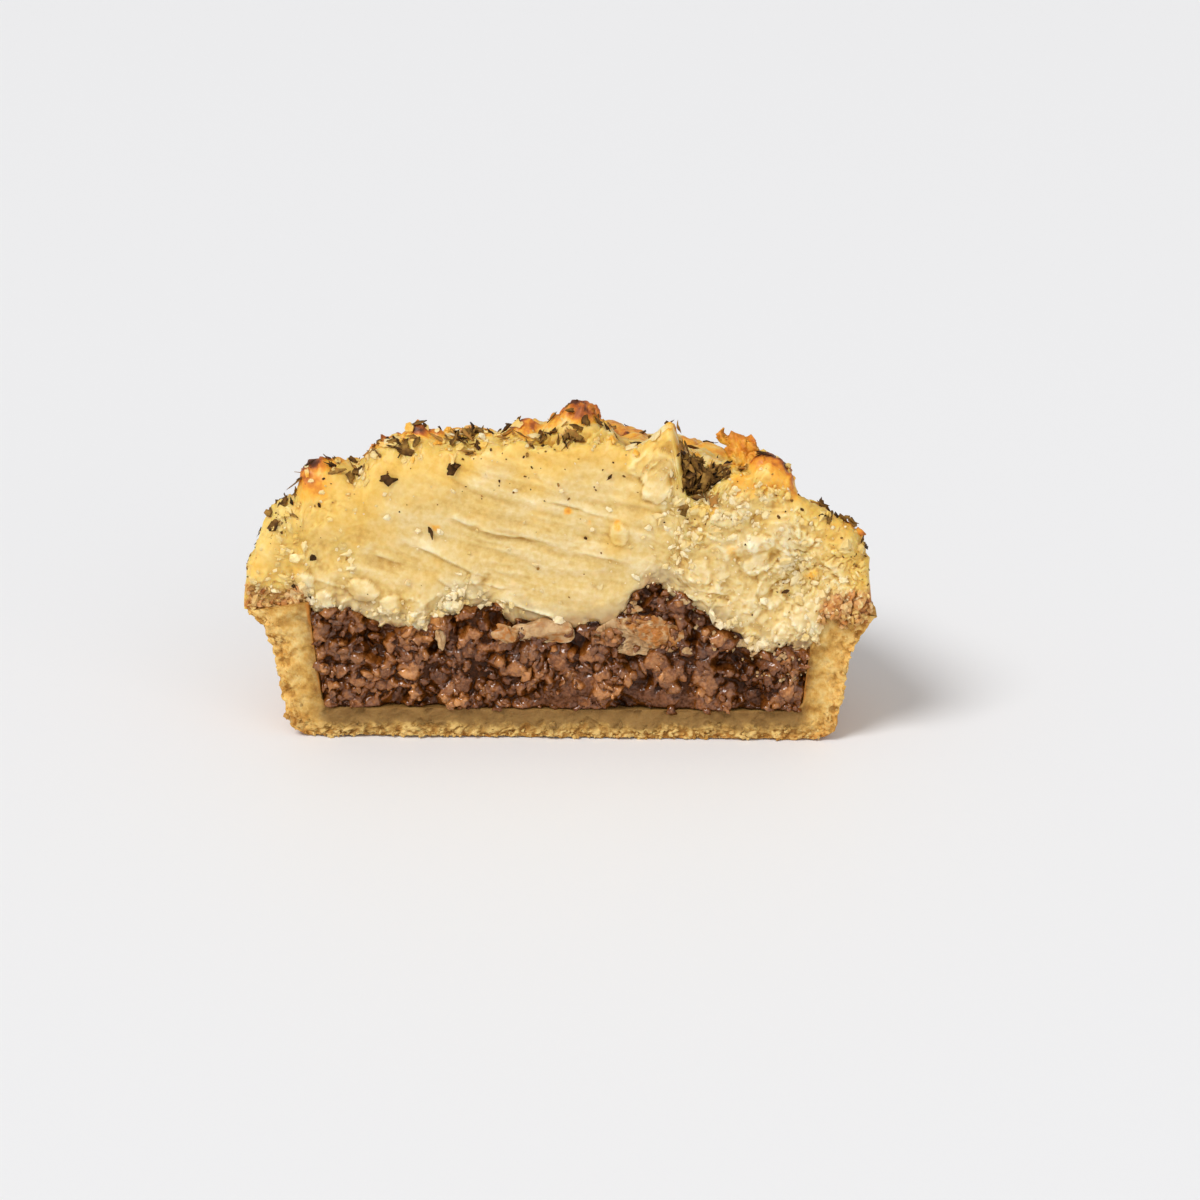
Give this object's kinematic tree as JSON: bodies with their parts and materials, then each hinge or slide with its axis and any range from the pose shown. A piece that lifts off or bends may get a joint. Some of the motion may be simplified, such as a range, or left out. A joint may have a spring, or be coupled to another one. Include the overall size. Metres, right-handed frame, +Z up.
{
  "type": "steak and potato pie half",
  "caption": "Half of a savoury pie: shortcrust case with a minced steak filling under a browned mound of mashed potato, cut face open, resting on its flat base.",
  "frame": {"origin": "middle of the bounding box at the surface that the pie stands on", "axes": "+Z up from the base, +X along the cut from left to right, -Y out of the cut face towards the viewer"},
  "size_m": [0.1132, 0.0574, 0.0612],
  "materials": {
    "pastry": "matte baked shortcrust",
    "mince": "moist, in gravy",
    "mash": "moist, browned on top",
    "potato": "moist cut potato"
  },
  "bodies": {
    "root": {"crust": "pastry", "mince": "mince", "mash": "mash", "potato_slice": "potato", "potato_lump": "potato"}
  },
  "joints": []
}
